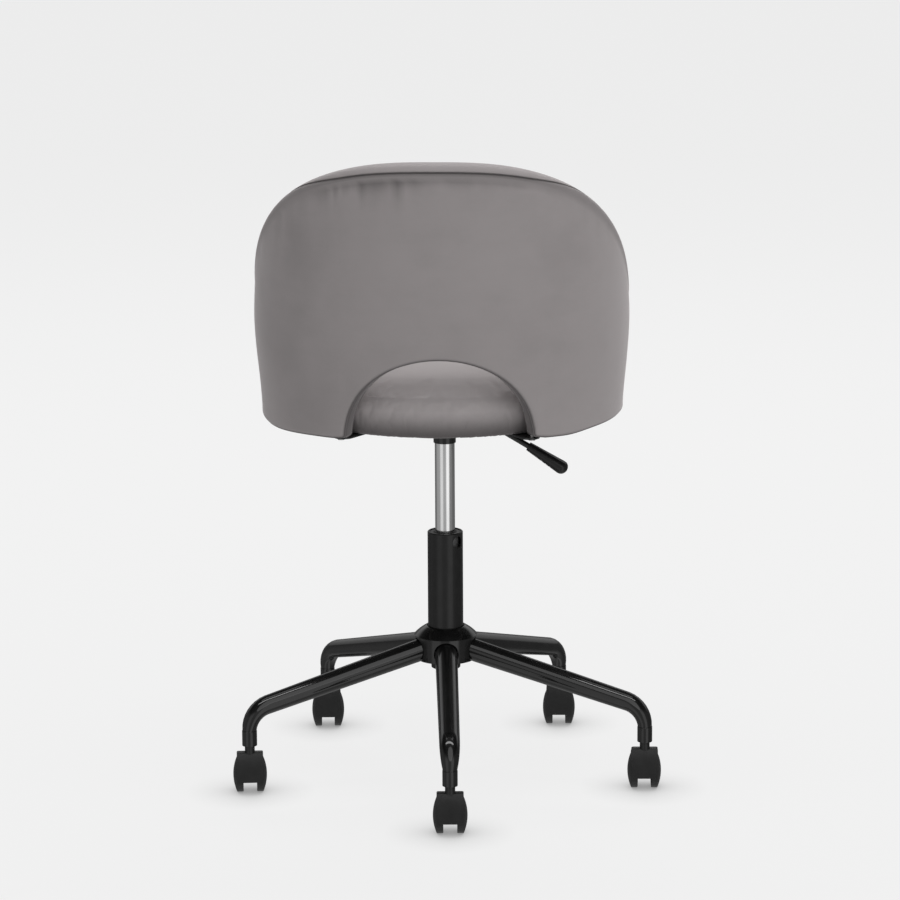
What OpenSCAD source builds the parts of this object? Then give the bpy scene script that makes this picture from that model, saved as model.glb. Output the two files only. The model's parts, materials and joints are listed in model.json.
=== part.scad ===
// Swivel desk chair with a wrap-around upholstered back.
// Origin: on the floor under the gas lift. +Z is up and the sitter faces -Y.

/* [Star base] */
// Radius of the circle on which the five caster stems stand
stem_circle_r = 292; // [282:1:300]
// Direction of the first leg, counted from +X towards the back of the chair
first_leg_angle = 93.4; // [60:0.1:130]
// Fall of each leg tube below the horizontal
leg_slope = 14.5; // [13:0.5:17]
// Height of a leg's centre line at the hub skirt
leg_root_z = 186; // [184.5:0.5:188.5]
// Leg tube diameter at the hub
leg_root_d = 32; // [28:0.5:32]
// Leg tube diameter where the bend starts
leg_bend_d = 26.5; // [22:0.5:28]
// Sideways width of the flattened leg tube where the bend starts
leg_bend_w = 28.5; // [27:0.5:30]
// Leg tube diameter at the caster socket
leg_tip_d = 20; // [18:0.5:21]
// Bend radius of the leg's centre line
leg_bend_r = 36; // [34:1:40]
// Wall thickness of the leg tube
leg_wall = 1.6; // [1.2:0.1:2]
// Outer diameter of the hub skirt
hub_d = 86; // [84:0.5:87]
// Outer diameter of the hub's domed cap
hub_cap_d = 89; // [88:0.5:92]
// Height of the hub's lower edge
hub_bottom_z = 173; // [171:1:175]
// Height of the hub's upper edge
hub_top_z = 220; // [218:1:224]

/* [Casters] */
// Wheel diameter
wheel_d = 50; // [46:1:50]
// Overall width over both wheels
caster_w = 47.5; // [45:0.5:50]
// Clear gap between the two wheels of a caster
wheel_gap = 19; // [18:0.5:20]
// Distance of the axle behind the stem
caster_trail = 18; // [16:1:19]
// Width of the hood over the wheels
hood_w = 37; // [35:0.5:38]
// Height of the hood's flat top
hood_top_z = 62; // [60:0.5:62]
// Height at which the leg sockets end
socket_bottom_z = 72; // [71.5:0.5:73]
// Diameter of the caster stem
stem_d = 11; // [10:0.5:11]

/* [Gas lift] */
// Outer diameter of the column tube
column_d = 50; // [50:0.5:52]
// Height of the column tube's upper edge
column_top_z = 357.5; // [350:0.5:360]
// Height of the column tube's lower end
column_bottom_z = 159; // [156:1:160]
// Diameter of the chrome gas cylinder
cylinder_d = 28; // [28:0.5:28]
// Height at which the cylinder enters the seat mechanism
collar_z = 485.5; // [483:0.5:488]
// Height travel of the seat
lift_travel = 115; // [90:5:115]

/* [Seat] */
// Sideways distance of the seat's centre from the column
seat_side = 3; // [-5:1:5]
// Height of the underside of the upholstered shell
shell_bottom_z = 535; // [533:1:537]
// Distance of the seat's centre in front of the column
seat_offset = 10; // [0:1:20]
// Radius of the seat cushion
cushion_r = 222; // [216:1:223]
// Height of the cushion's crown
cushion_top_z = 607; // [600:1:612]
// Radius of the plywood seat board
board_r = 212; // [205:1:212]

/* [Shell] */
// Outer radius of the shell at its lower edge
shell_bottom_r = 253; // [250:1:255]
// Outer radius of the shell at its widest height
shell_wide_r = 261; // [259:1:263]
// Height of the back's upper edge
back_top_z = 915; // [900:1:930]
// Height of the arms
arm_z = 700; // [690:1:710]
// Half angle that the shell wraps round the seat, from the middle of the back
wrap_angle = 138; // [130:1:142]
// Thickness of the padded rim
rim_t = 45; // [40:1:48]
// Width of the opening at the foot of the back
cutout_w = 259; // [240:1:270]
// Sideways distance of the opening from the middle of the back
cutout_side = 5.5; // [0:0.5:8]
// Height of the opening at the foot of the back
cutout_h = 116; // [100:1:120]

/* [Hidden] */
$fn = 64;

steel_black = "#1b1b1d";
plastic_black = "#222225";
velvet_grey = "#8a8686";
eps = 0.5;            // overlap of a cutting tool past a face
fit = 0.05;           // radial running clearance
seat_centre = [seat_side, -seat_offset];

// Star base
leg_count = 5;
hub_r = hub_d / 2;
hub_socket_r = 28;
hub_skirt_t = 3;
leg_hole_d = leg_root_d + 3;
leg_sides = 32;
bend_steps = 8;
bend_start_r = stem_circle_r - leg_bend_r * (1 - sin(leg_slope));
bend_start_z = leg_root_z - (bend_start_r - hub_r) * tan(leg_slope);
bend_centre_z = bend_start_z - leg_bend_r * cos(leg_slope);
socket_d = leg_tip_d + 1;
weld_gap = 0.1;

// Casters: the angle to which each hood has turned, counted like first_leg_angle
hood_angles = [92.5, 91.5, 91.5, 93.5, 95.5];
wheel_r = wheel_d / 2;
axle_d = 6;
pivot_d = 8;                     // lower, turning part of the stem
neck_d = 14;
neck_top_z = socket_bottom_z - 0.8;
pivot_bottom_z = 42;
tread_w = 9;                     // straight part of the wheel before its dome
hood_clear = 0.9;                // gap between the tread and the hood
hood_t = 2.2;
hood_lip_z = 19.5;
hood_shoulder_r = 2.5;
web_w = wheel_gap - 1.2;         // hood web between the wheels
dome_h = caster_w / 2 - wheel_gap / 2 - tread_w;
dome_r = (wheel_r * wheel_r + dome_h * dome_h) / (2 * dome_h);

// Gas lift
column_r = column_d / 2;
column_wall = 2;
column_foot_r = 20.5;
column_foot_t = 4;
column_mouth_r = 22;
column_lip_t = 3;
lock_hole_z = column_top_z - 13;
lock_hole_d = 17;
cylinder_r = cylinder_d / 2;
cylinder_bore_r = 12;
cylinder_bottom_z = column_bottom_z + 14 + lift_travel;
cylinder_top_z = 520;
cylinder_taper_r = 13.3;
chamber_top_z = 500;
rod_r = 5;
piston_h = 8;
guide_h = 10;
bearing_h = 6;
pin_r = 4;
pin_top_z = 526;

// Seat mechanism
plate_t = 2.5;
plate_top_z = shell_bottom_z;
plate_x = 200;
plate_y = 160;
plate_corner_r = 14;
bolt_x = 80;
bolt_y = 60;
bolt_d = 6;
channel_x = 100;
channel_y = 60;
channel_bottom_z = 503;
sleeve_r = 15.8;
cover_t = 1;
board_t = 12;
board_bottom_z = plate_top_z + cover_t;
board_top_z = board_bottom_z + board_t;
pivot_x = -32;
pivot_z = 521;
pivot_pin_d = 6;
lever_d = 8;
elbow_x = -75;
elbow_z = 506;
grip_slope = 31;
grip_root_x = -118;
grip_l = 64;
strap_t = 3;
strap_w = 28;
strap_inner_r = 140;
strap_outer_r = 246;
strap_angles = [-118, -33, 33, 118];
screw_radii = [165, 238];

// Shell layers, from the outside in
outer_pad_t = 8;
frame_t = 10;
seat_level_t = 24;
rim_drop = 14;
layer_gap = 0.4;      // glue line between two layers
rim_gap = 1.2;        // glue line under the rim
layer_rows = 6;
shell_step = 6;
cutout_steps = 9;

function mix(a, b, t) = a + (b - a) * t;
function clamp01(t) = min(1, max(0, t));
function ease(t) = t * t * (3 - 2 * t);

// ---------- helpers ----------

// Closed solid through a list of equal rings; a looped list closes on itself
module skin(rings, looped = false) {
    n = len(rings[0]);
    m = len(rings);
    last = looped ? m - 1 : m - 2;
    walls = [
        for (i = [0:last])
            for (j = [0:n - 1])
                let (a = i * n + j, b = i * n + (j + 1) % n, c = ((i + 1) % m) * n)
                    for (f = [[a, b, c + (j + 1) % n], [a, c + (j + 1) % n, c + j]]) f
    ];
    caps = looped ? [] : [[for (j = [n - 1:-1:0]) j], [for (j = [0:n - 1]) (m - 1) * n + j]];
    polyhedron(points = [for (r = rings) each r], faces = concat(walls, caps), convexity = 8);
}

// Plate of size x by y with rounded corners, made only from boxes and cylinders
module rounded_plate(x, y, t, r) {
    translate([-x / 2 + r, -y / 2, 0]) cube([x - 2 * r, y, t]);
    translate([-x / 2, -y / 2 + r, 0]) cube([x, y - 2 * r, t]);
    for (sx = [-1, 1])
        for (sy = [-1, 1])
            translate([sx * (x / 2 - r), sy * (y / 2 - r), 0]) cylinder(r = r, h = t);
}

module ring(r_out, r_in, z0, z1) {
    translate([0, 0, z0])
        difference() {
            cylinder(r = r_out, h = z1 - z0);
            translate([0, 0, -eps]) cylinder(r = r_in, h = z1 - z0 + 2 * eps);
        }
}

// Places a child at leg number i, with the leg running along +X
module at_leg(i) {
    rotate([0, 0, first_leg_angle + (i - 1) * 360 / leg_count]) children();
}

// Places a child at caster number i, with the stem on the Z axis and the hood's front along +X
module at_caster(i) {
    a = first_leg_angle + (i - 1) * 360 / leg_count;
    translate([stem_circle_r * cos(a), stem_circle_r * sin(a), 0])
        rotate([0, 0, hood_angles[i - 1]]) children();
}

// ---------- star base ----------

// Radius of the column's tapered foot at height z
function column_taper_r(z) =
    mix(column_foot_r, column_r, clamp01((z - column_bottom_z) / (hub_top_z - column_bottom_z)));

module base_hub() {
    cap_r = hub_cap_d / 2;
    cap_drop = 12.5;
    cap_h = (cap_r * cap_r + cap_drop * cap_drop - hub_socket_r * hub_socket_r) / (2 * cap_drop);
    rim_z = hub_top_z - cap_drop;
    groove_w = 2;
    groove_z = hub_top_z - 3;
    color(steel_black)
        difference() {
            rotate_extrude()
                difference() {
                    union() {
                        // socket for the column
                        translate([hub_socket_r - 8, hub_bottom_z])
                            square([8, hub_top_z - hub_bottom_z - 2]);
                        // skirt and floor
                        translate([hub_r - hub_skirt_t, hub_bottom_z])
                            square([hub_skirt_t, rim_z - hub_bottom_z + 0.5]);
                        translate([hub_socket_r - eps, hub_bottom_z])
                            square([hub_r - hub_socket_r, hub_skirt_t]);
                        // domed cap
                        intersection() {
                            translate([0, hub_top_z - cap_h]) circle(r = norm([hub_socket_r, cap_h]));
                            translate([hub_socket_r - 8, rim_z]) square([cap_r, cap_drop]);
                        }
                    }
                    // hollow under the cap
                    translate([hub_socket_r, rim_z - 8]) square([hub_r - hub_skirt_t - hub_socket_r, 11]);
                    // tapered seat of the column, with a groove round its mouth
                    polygon([
                        [-1, hub_bottom_z - eps],
                        [column_taper_r(hub_bottom_z - eps) + fit, hub_bottom_z - eps],
                        [column_taper_r(groove_z) + fit, groove_z],
                        [column_r + groove_w, groove_z],
                        [column_r + groove_w, hub_top_z + eps],
                        [-1, hub_top_z + eps]
                    ]);
                }
            for (i = [1:leg_count])
                at_leg(i)
                    translate([hub_r, 0, leg_root_z])
                        rotate([0, 90 + leg_slope, 0])
                            translate([0, 0, -hub_r + hub_socket_r + 1]) cylinder(d = leg_hole_d, h = 40);
        }
}

// One ring of a leg tube: centre [x, z], slope below the horizontal, radius and sideways radius
function leg_ring(x, z, slope, r, side_r) = [
    for (j = [0:leg_sides - 1])
        let (a = 360 * j / leg_sides)
            [x + r * sin(a) * sin(slope), side_r * cos(a), z + r * sin(a) * cos(slope)]
];

// First ring of a leg tube, cut to a saddle that meets the hub's round socket
function leg_saddle(r) = [
    for (j = [0:leg_sides - 1])
        let (
            a = 360 * j / leg_sides,
            y = r * cos(a),
            x0 = hub_r + r * sin(a) * sin(leg_slope),
            x1 = sqrt(pow(hub_socket_r + weld_gap, 2) - y * y),
            s = (x1 - x0) / cos(leg_slope)
        )
            [x1, y, leg_root_z + r * sin(a) * cos(leg_slope) - s * sin(leg_slope)]
];

// Rings of a leg tube's skin; inset is how far the skin lies inside the outer surface
function leg_rings(inset) = concat(
    [leg_saddle(leg_root_d / 2 - inset)],
    [for (k = [0:bend_steps])
        let (
            slope = mix(leg_slope, 90, k / bend_steps),
            d = mix(leg_bend_d, leg_tip_d, k / bend_steps),
            w = mix(leg_bend_w, leg_tip_d, pow(k / bend_steps, 2.5))
        )
            leg_ring(
                stem_circle_r - leg_bend_r * (1 - sin(slope)),
                bend_centre_z + leg_bend_r * cos(slope),
                slope,
                d / 2 - inset,
                w / 2 - inset
            )
    ]
);

function reversed(list) = [for (i = [len(list) - 1:-1:0]) list[i]];

module base_leg(i) {
    color(steel_black)
        at_leg(i) skin(concat(leg_rings(0), reversed(leg_rings(leg_wall))), looped = true);
}

module leg_socket(i) {
    color(steel_black)
        at_leg(i)
            translate([stem_circle_r, 0, 0])
                ring(socket_d / 2, stem_d / 2 + fit, socket_bottom_z, bend_centre_z);
}

// ---------- casters ----------

module caster_stem(i) {
    stem_top_z = bend_centre_z - 1;
    color("silver")
        at_caster(i) {
            translate([0, 0, neck_top_z + 0.3]) cylinder(d = stem_d, h = stem_top_z - neck_top_z - 0.3);
            translate([0, 0, pivot_bottom_z]) cylinder(d = pivot_d, h = neck_top_z + 1 - pivot_bottom_z);
        }
}

// Side outline of the hood, with the stem axis at x = 0 and the floor at y = 0
module hood_outline() {
    outer_r = wheel_r + hood_clear + hood_t;
    front_x = outer_r - caster_trail;
    front_r = 110;
    corner_r = 3;
    difference() {
        union() {
            translate([-caster_trail, wheel_r]) circle(r = outer_r);
            // raised shoulder that carries the neck
            intersection() {
                union() {
                    polygon([
                        [-caster_trail, wheel_r],
                        [-caster_trail, wheel_r + outer_r],
                        [-neck_d / 2, hood_top_z],
                        [front_x - 5 - corner_r, hood_top_z],
                        [front_x - 5, hood_top_z - corner_r],
                        [front_x, wheel_r + 20],
                        [front_x, wheel_r]
                    ]);
                    translate([front_x - 5 - corner_r, hood_top_z - corner_r]) circle(r = corner_r);
                }
                translate([front_x - front_r, wheel_r]) circle(r = front_r, $fn = 256);
            }
        }
        // open below the lip and behind the wheels
        translate([-60, -10]) square([90, 10 + hood_lip_z]);
        translate([-80 - caster_trail, -10]) square([80, 10 + wheel_r + 14]);
    }
}

// Front outline of the hood, with rounded shoulders
module hood_front() {
    shoulder_x = hood_w / 2 - hood_shoulder_r;
    translate([-hood_w / 2, 0]) square([hood_w, hood_top_z - hood_shoulder_r]);
    translate([-shoulder_x, 0]) square([2 * shoulder_x, hood_top_z]);
    for (s = [-1, 1]) translate([s * shoulder_x, hood_top_z - hood_shoulder_r]) circle(r = hood_shoulder_r);
}

module caster_hood(i) {
    boss_r = 7;
    color(plastic_black)
        at_caster(i)
            difference() {
                union() {
                    // hood over both wheels
                    difference() {
                        intersection() {
                            rotate([90, 0, 0])
                                translate([0, 0, -hood_w / 2]) linear_extrude(height = hood_w) hood_outline();
                            rotate([90, 0, 90])
                                translate([0, 0, -60]) linear_extrude(height = 90) hood_front();
                        }
                        for (s = [-1, 1])
                            translate([-caster_trail, s * (web_w + hood_w + eps) / 2, wheel_r])
                                rotate([90, 0, 0])
                                    translate([0, 0, -(hood_w + eps) / 2])
                                        cylinder(r = wheel_r + hood_clear, h = hood_w + eps);
                    }
                    // axle boss between the wheels
                    translate([-caster_trail, web_w / 2, wheel_r])
                        rotate([90, 0, 0]) cylinder(r = boss_r, h = web_w);
                    // neck round the stem
                    translate([0, 0, hood_top_z - 1]) cylinder(d = neck_d, h = neck_top_z - hood_top_z + 1);
                }
                translate([0, 0, pivot_bottom_z - 0.5]) cylinder(d = pivot_d + 2 * fit, h = 40);
                translate([-caster_trail, hood_w / 2, wheel_r])
                    rotate([90, 0, 0]) cylinder(d = axle_d + 2 * fit, h = hood_w);
            }
}

module caster_axle(i) {
    axle_l = caster_w - 12;
    color("silver")
        at_caster(i)
            translate([-caster_trail, axle_l / 2, wheel_r]) rotate([90, 0, 0]) cylinder(d = axle_d, h = axle_l);
}

// One wheel, with its inner face on y = 0 and its axle along +Y
module wheel() {
    width = tread_w + dome_h;
    bore_depth = width - 4.5;
    rotate([-90, 0, 0])
        rotate_extrude()
            difference() {
                union() {
                    translate([0, 1]) square([wheel_r, tread_w - 1]);
                    square([wheel_r - 1, tread_w]);
                    translate([wheel_r - 1, 1]) circle(r = 1);
                    intersection() {
                        translate([0, tread_w - eps]) square([wheel_r, dome_h + eps]);
                        translate([0, width - dome_r]) circle(r = dome_r, $fn = 128);
                    }
                }
                // blind bore for the axle and a recess that lightens the inner side
                translate([-1, -eps]) square([1 + axle_d / 2 + fit, bore_depth + eps]);
                translate([axle_d / 2 + 4, -eps]) square([wheel_r - axle_d / 2 - 8, 6 + eps]);
                translate([-5, -eps]) square([5, width + 1]);
            }
}

module caster_wheel(i, side) {
    color(plastic_black)
        at_caster(i)
            translate([-caster_trail, side * wheel_gap / 2, wheel_r])
                mirror([0, side < 0 ? 1 : 0, 0]) wheel();
}

// ---------- gas lift ----------

module column_tube() {
    inner_r = column_r - column_wall;
    color(plastic_black)
        difference() {
            rotate_extrude()
                polygon([
                    [rod_r + fit, column_bottom_z],
                    [column_foot_r, column_bottom_z],
                    [column_r, hub_top_z],
                    [column_r, column_top_z - 1],
                    [column_r - 1, column_top_z],
                    [column_mouth_r, column_top_z],
                    [column_mouth_r, column_top_z - column_lip_t],
                    [inner_r, column_top_z - column_lip_t],
                    [inner_r, hub_top_z],
                    [column_foot_r - column_wall, column_bottom_z + column_foot_t],
                    [rod_r + fit, column_bottom_z + column_foot_t]
                ]);
            // hole of the spring button that locks the guide bushing
            translate([0, 0, lock_hole_z])
                rotate([0, 90, 138]) translate([0, 0, column_r - 5]) cylinder(d = lock_hole_d, h = 10);
        }
}

module guide_bushing() {
    outer_r = column_r - column_wall - fit;
    foot_z = column_top_z - 80;
    groove_r = outer_r - 4;
    groove_z = lock_hole_z - lock_hole_d / 2 - 1;
    color("dimgray")
        rotate_extrude()
            polygon([
                [cylinder_r + fit, foot_z],
                [outer_r, foot_z],
                [outer_r, groove_z],
                [groove_r, groove_z],
                [groove_r, groove_z + lock_hole_d],
                [outer_r, groove_z + lock_hole_d],
                [outer_r, column_top_z - column_lip_t - fit],
                [column_mouth_r - fit, column_top_z - column_lip_t - fit],
                [column_mouth_r - fit, column_top_z - 1],
                [cylinder_r + 3, column_top_z - 1],
                [cylinder_r + fit, column_top_z - 5]
            ]);
}

module thrust_bearing() {
    z0 = column_bottom_z + column_foot_t;
    color("gray") ring(12, rod_r + fit, z0, z0 + bearing_h);
}

module piston_rod() {
    collar_z0 = column_bottom_z + column_foot_t + bearing_h + 0.1;
    piston_z0 = cylinder_bottom_z + guide_h + 2;
    color("silver")
        rotate_extrude()
            polygon([
                [0, column_bottom_z - 3],
                [rod_r, column_bottom_z - 3],
                [rod_r, column_bottom_z - 1.4],
                [rod_r - 1, column_bottom_z - 1.4],
                [rod_r - 1, column_bottom_z - 0.1],
                [rod_r, column_bottom_z - 0.1],
                [rod_r, collar_z0],
                [11, collar_z0],
                [11, collar_z0 + 1.8],
                [rod_r, collar_z0 + 1.8],
                [rod_r, piston_z0],
                [cylinder_bore_r - fit, piston_z0],
                [cylinder_bore_r - fit, piston_z0 + piston_h],
                [0, piston_z0 + piston_h]
            ]);
}

module retaining_clip() {
    color("gray")
        rotate([0, 0, 30])
            rotate_extrude(angle = 300)
                translate([rod_r - 1 + 0.02, column_bottom_z - 1.35]) square([5, 1.2]);
}

module gas_cylinder() {
    color("gainsboro")
        rotate_extrude()
            polygon([
                [cylinder_bore_r, cylinder_bottom_z],
                [cylinder_r - 0.6, cylinder_bottom_z],
                [cylinder_r, cylinder_bottom_z + 0.6],
                [cylinder_r, collar_z + 2],
                [cylinder_taper_r, cylinder_top_z],
                [pin_r + fit, cylinder_top_z],
                [pin_r + fit, chamber_top_z],
                [cylinder_bore_r, chamber_top_z]
            ]);
}

module cylinder_end_guide() {
    color("dimgray")
        ring(cylinder_bore_r - 0.02, rod_r + fit, cylinder_bottom_z, cylinder_bottom_z + guide_h);
}

module release_pin() {
    pin_bottom_z = chamber_top_z + 1;
    color("silver")
        rotate_extrude()
            polygon([
                [0, pin_bottom_z],
                [pin_r, pin_bottom_z],
                [pin_r, pin_top_z - 1],
                [pin_r - 1, pin_top_z],
                [0, pin_top_z]
            ]);
}

// ---------- seat mechanism ----------

module each_bolt() {
    for (sx = [-1, 1])
        for (sy = [-1, 1])
            translate([sx * bolt_x, sy * bolt_y, 0]) children();
}

module seat_plate() {
    wall_h = plate_top_z - plate_t - channel_bottom_z;
    color(steel_black)
        difference() {
            union() {
                translate([0, 0, plate_top_z - plate_t])
                    rounded_plate(plate_x, plate_y, plate_t, plate_corner_r);
                // channel that carries the lever and the cylinder's sleeve
                translate([-channel_x / 2, -channel_y / 2, channel_bottom_z])
                    cube([channel_x, channel_y, plate_t]);
                for (s = [-1, 1])
                    translate([-channel_x / 2, s * (channel_y - plate_t) / 2 - plate_t / 2, channel_bottom_z])
                        cube([channel_x, plate_t, wall_h + eps]);
                translate([0, 0, collar_z]) cylinder(r = sleeve_r, h = cylinder_top_z - 2 - collar_z);
            }
            // tapered bore for the cylinder
            rotate_extrude()
                polygon([
                    [0, collar_z - eps],
                    [cylinder_r + fit, collar_z - eps],
                    [cylinder_r + fit, collar_z + 2],
                    [cylinder_taper_r + fit, cylinder_top_z],
                    [0, cylinder_top_z]
                ]);
            each_bolt()
                translate([0, 0, plate_top_z - plate_t - eps]) cylinder(d = bolt_d + 0.6, h = plate_t + 2 * eps);
            translate([pivot_x, channel_y / 2 + eps, pivot_z])
                rotate([90, 0, 0]) cylinder(d = pivot_pin_d + 2 * fit, h = channel_y + 2 * eps);
        }
}

module plate_bolts() {
    color("silver")
        each_bolt() {
            translate([0, 0, plate_top_z - plate_t - 4]) cylinder(r = 5.7, h = 4, $fn = 6);
            translate([0, 0, plate_top_z - plate_t - 1]) cylinder(d = bolt_d, h = plate_t + cover_t + board_t);
        }
}

module tee_nuts() {
    color("gray")
        each_bolt() {
            ring(4, bolt_d / 2 + fit, board_bottom_z + 1, board_top_z + 0.1);
            ring(9.5, bolt_d / 2 + fit, board_top_z, board_top_z + 1.5);
        }
}

module lever_pivot() {
    color("silver")
        translate([pivot_x, channel_y / 2 + 1, pivot_z])
            rotate([90, 0, 0]) cylinder(d = pivot_pin_d, h = channel_y + 2);
}

// Straight round bar between two points of the plane y = 0, each [x, z]
module bar(a, b, d) {
    l = norm(b - a);
    translate([a[0], 0, a[1]]) rotate([0, atan2(b[0] - a[0], b[1] - a[1]), 0]) cylinder(d = d, h = l);
}

function grip_root_z() = elbow_z - (elbow_x - grip_root_x) * tan(grip_slope);

module release_lever() {
    eye_w = 14;
    paddle_z = pin_top_z + 0.3;
    stub = 20;
    color(steel_black)
        difference() {
            union() {
                translate([pivot_x, eye_w / 2, pivot_z]) rotate([90, 0, 0]) cylinder(r = 7, h = eye_w);
                bar([pivot_x, pivot_z], [elbow_x, elbow_z], lever_d);
                translate([elbow_x, 0, elbow_z]) sphere(d = lever_d + 0.3);
                bar(
                    [elbow_x, elbow_z],
                    [grip_root_x - stub * cos(grip_slope), grip_root_z() - stub * sin(grip_slope)],
                    lever_d
                );
                // paddle that presses the release pin
                translate([pivot_x, -5, paddle_z]) cube([6 - pivot_x, 10, 5]);
                translate([pivot_x - 5, -5, pivot_z]) cube([10, 10, paddle_z + 5 - pivot_z]);
            }
            translate([pivot_x, channel_y, pivot_z])
                rotate([90, 0, 0]) cylinder(d = pivot_pin_d + 2 * fit, h = 2 * channel_y);
        }
}

module lever_grip() {
    root_r = 6.5;
    end_r = 10;
    end_drop = 1.8;
    end_z = grip_l - end_r;
    notch_r = 1.5;
    color(plastic_black)
        translate([grip_root_x, 0, grip_root_z()])
            rotate([0, -90 - grip_slope, 0])
                difference() {
                    hull() {
                        cylinder(r = root_r, h = 2, $fn = 32);
                        translate([-end_drop, 0, end_z]) scale([1, 1.25, 1]) sphere(r = end_r, $fn = 40);
                    }
                    // flat thumb face
                    translate([root_r - 1, 0, 0])
                        rotate([0, 1, 0]) translate([0, -20, -5]) cube([20, 40, grip_l + 10]);
                    // finger notches under the grip
                    for (z = [26, 33, 40])
                        translate([-root_r - (end_r + end_drop - root_r) * z / end_z - notch_r / 3, 20, z])
                            rotate([90, 0, 0]) cylinder(r = notch_r, h = 40, $fn = 24);
                    translate([0, 0, -eps]) cylinder(d = lever_d + 0.1, h = 20.5 + eps);
                }
}

// ---------- seat ----------

module seat_disc(r, z0, t) {
    translate([seat_centre[0], seat_centre[1], z0]) cylinder(r = r, h = t, $fn = 128);
}

// Places a child at every bracket screw
module each_screw() {
    for (a = strap_angles)
        for (r = screw_radii)
            translate(seat_centre) rotate([0, 0, 90 + a]) translate([r, 0, 0]) children();
}

module dust_cover() {
    color("#111111")
        difference() {
            seat_disc(board_r - 2, plate_top_z, cover_t);
            each_bolt() translate([0, 0, plate_top_z - eps]) cylinder(d = 8, h = cover_t + 2 * eps);
            each_screw() translate([0, 0, plate_top_z - eps]) cylinder(d = 5.4, h = cover_t + 2 * eps);
        }
}

module seat_board() {
    color("burlywood")
        difference() {
            seat_disc(board_r, board_bottom_z, board_t);
            each_bolt() translate([0, 0, board_bottom_z - eps]) cylinder(r = 4.05, h = board_t + 2 * eps);
            each_screw() translate([0, 0, board_bottom_z - eps]) cylinder(d = 5.1, h = 9);
        }
}

module seat_cushion() {
    foot_z = board_bottom_z + 2;
    shoulder_r = 26;
    color(velvet_grey)
        translate(seat_centre)
            rotate_extrude($fn = 128)
                difference() {
                    union() {
                        translate([0, foot_z]) square([cushion_r - 3, 12]);
                        translate([0, foot_z + 6]) square([cushion_r, cushion_top_z - 12 - shoulder_r - foot_z - 6]);
                        translate([cushion_r - shoulder_r, cushion_top_z - 12 - shoulder_r]) circle(r = shoulder_r);
                        translate([0, foot_z + 6])
                            square([cushion_r - shoulder_r, cushion_top_z - 12 - foot_z - 6]);
                        // crown
                        intersection() {
                            translate([0, cushion_top_z - 1800]) circle(r = 1800, $fn = 256);
                            translate([0, foot_z + 20]) square([cushion_r - shoulder_r, 100]);
                        }
                    }
                    // pocket for the board and its nuts
                    translate([-1, foot_z - eps]) square([board_r + 1.2, board_top_z - foot_z + eps + 0.1]);
                    translate([-1, foot_z - eps]) square([121, board_top_z - foot_z + eps + 1.8]);
                    translate([-cushion_r - 60, 0]) square([cushion_r + 60, 2000]);
                }
}

// ---------- shell ----------

// Outer radius of the shell at height z
function shell_r(z) = mix(shell_bottom_r, shell_wide_r, ease(clamp01((z - shell_bottom_z) / 150)));

// Wall thickness of the shell at height z
function shell_t(z) = mix(seat_level_t, rim_t, ease(clamp01((z - shell_bottom_z - 65) / 80)));

// Height of the rim at angle a from the middle of the back
function rim_z(a) =
    let (
        g = 1 - pow(abs(a) / 92, 2.5),
        back = (back_top_z - arm_z) * (g + sqrt(g * g + 0.02)) / 2.01,
        front = clamp01((abs(a) - 108) / (wrap_angle - 108))
    )
        arm_z + back - 125 * (1 - sqrt(1 - 0.98 * front * front)) - 12 * clamp01((abs(a) - 80) / 50);

// Height of the shell's lower edge at angle a, raised over the opening in the back
cutout_turn = asin(cutout_side / shell_bottom_r);
function foot_z(a) =
    let (u = abs(shell_bottom_r * sin(a - cutout_turn)) / (cutout_w / 2))
        abs(a) < 90 && u < 1 ? shell_bottom_z + cutout_h * sqrt(1 - u * u) : shell_bottom_z;

// Angles of the sections: even steps, closer together over the opening and turned with it
cutout_half_angle = asin(cutout_w / 2 / shell_bottom_r);
function turned(a) =
    a + cutout_turn * clamp01((wrap_angle - abs(a)) / (wrap_angle - cutout_half_angle));
side_angles = [
    for (k = [0:cutout_steps]) asin(cutout_w / 2 * sin(90 * k / cutout_steps) / shell_bottom_r),
    for (k = [1:ceil((wrap_angle - cutout_half_angle) / shell_step)])
        mix(cutout_half_angle + 0.4, wrap_angle, k / ceil((wrap_angle - cutout_half_angle) / shell_step))
];
section_angles = [
    for (i = [len(side_angles) - 1:-1:1]) turned(-side_angles[i]),
    for (a = side_angles) turned(a)
];

// Point of the shell at angle a, radius r and height z
function shell_point(a, r, z) = [seat_centre[0] - r * sin(a), seat_centre[1] + r * cos(a), z];

// Column of points on a layer that lies depth inside the outer face, between two heights
function layer_column(a, depth, z0, z1) = [
    for (k = [0:layer_rows])
        let (z = mix(z0, z1, k / layer_rows)) shell_point(a, shell_r(z) - depth, z)
];

function inner_column(a, z0, z1) = [
    for (k = [layer_rows:-1:0])
        let (z = mix(z0, z1, k / layer_rows)) shell_point(a, shell_r(z) - shell_t(z), z)
];

module shell_layer(depth, t) {
    skin([
        for (a = section_angles)
            let (z0 = foot_z(a), z1 = rim_z(a) - rim_drop - rim_gap)
                concat(layer_column(a, depth, z0, z1), reversed(layer_column(a, depth + t, z0, z1)))
    ]);
}

module shell_outer_pad() {
    color(velvet_grey) shell_layer(0, outer_pad_t - layer_gap);
}

module shell_frame() {
    color("burlywood") shell_layer(outer_pad_t, frame_t - layer_gap);
}

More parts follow.
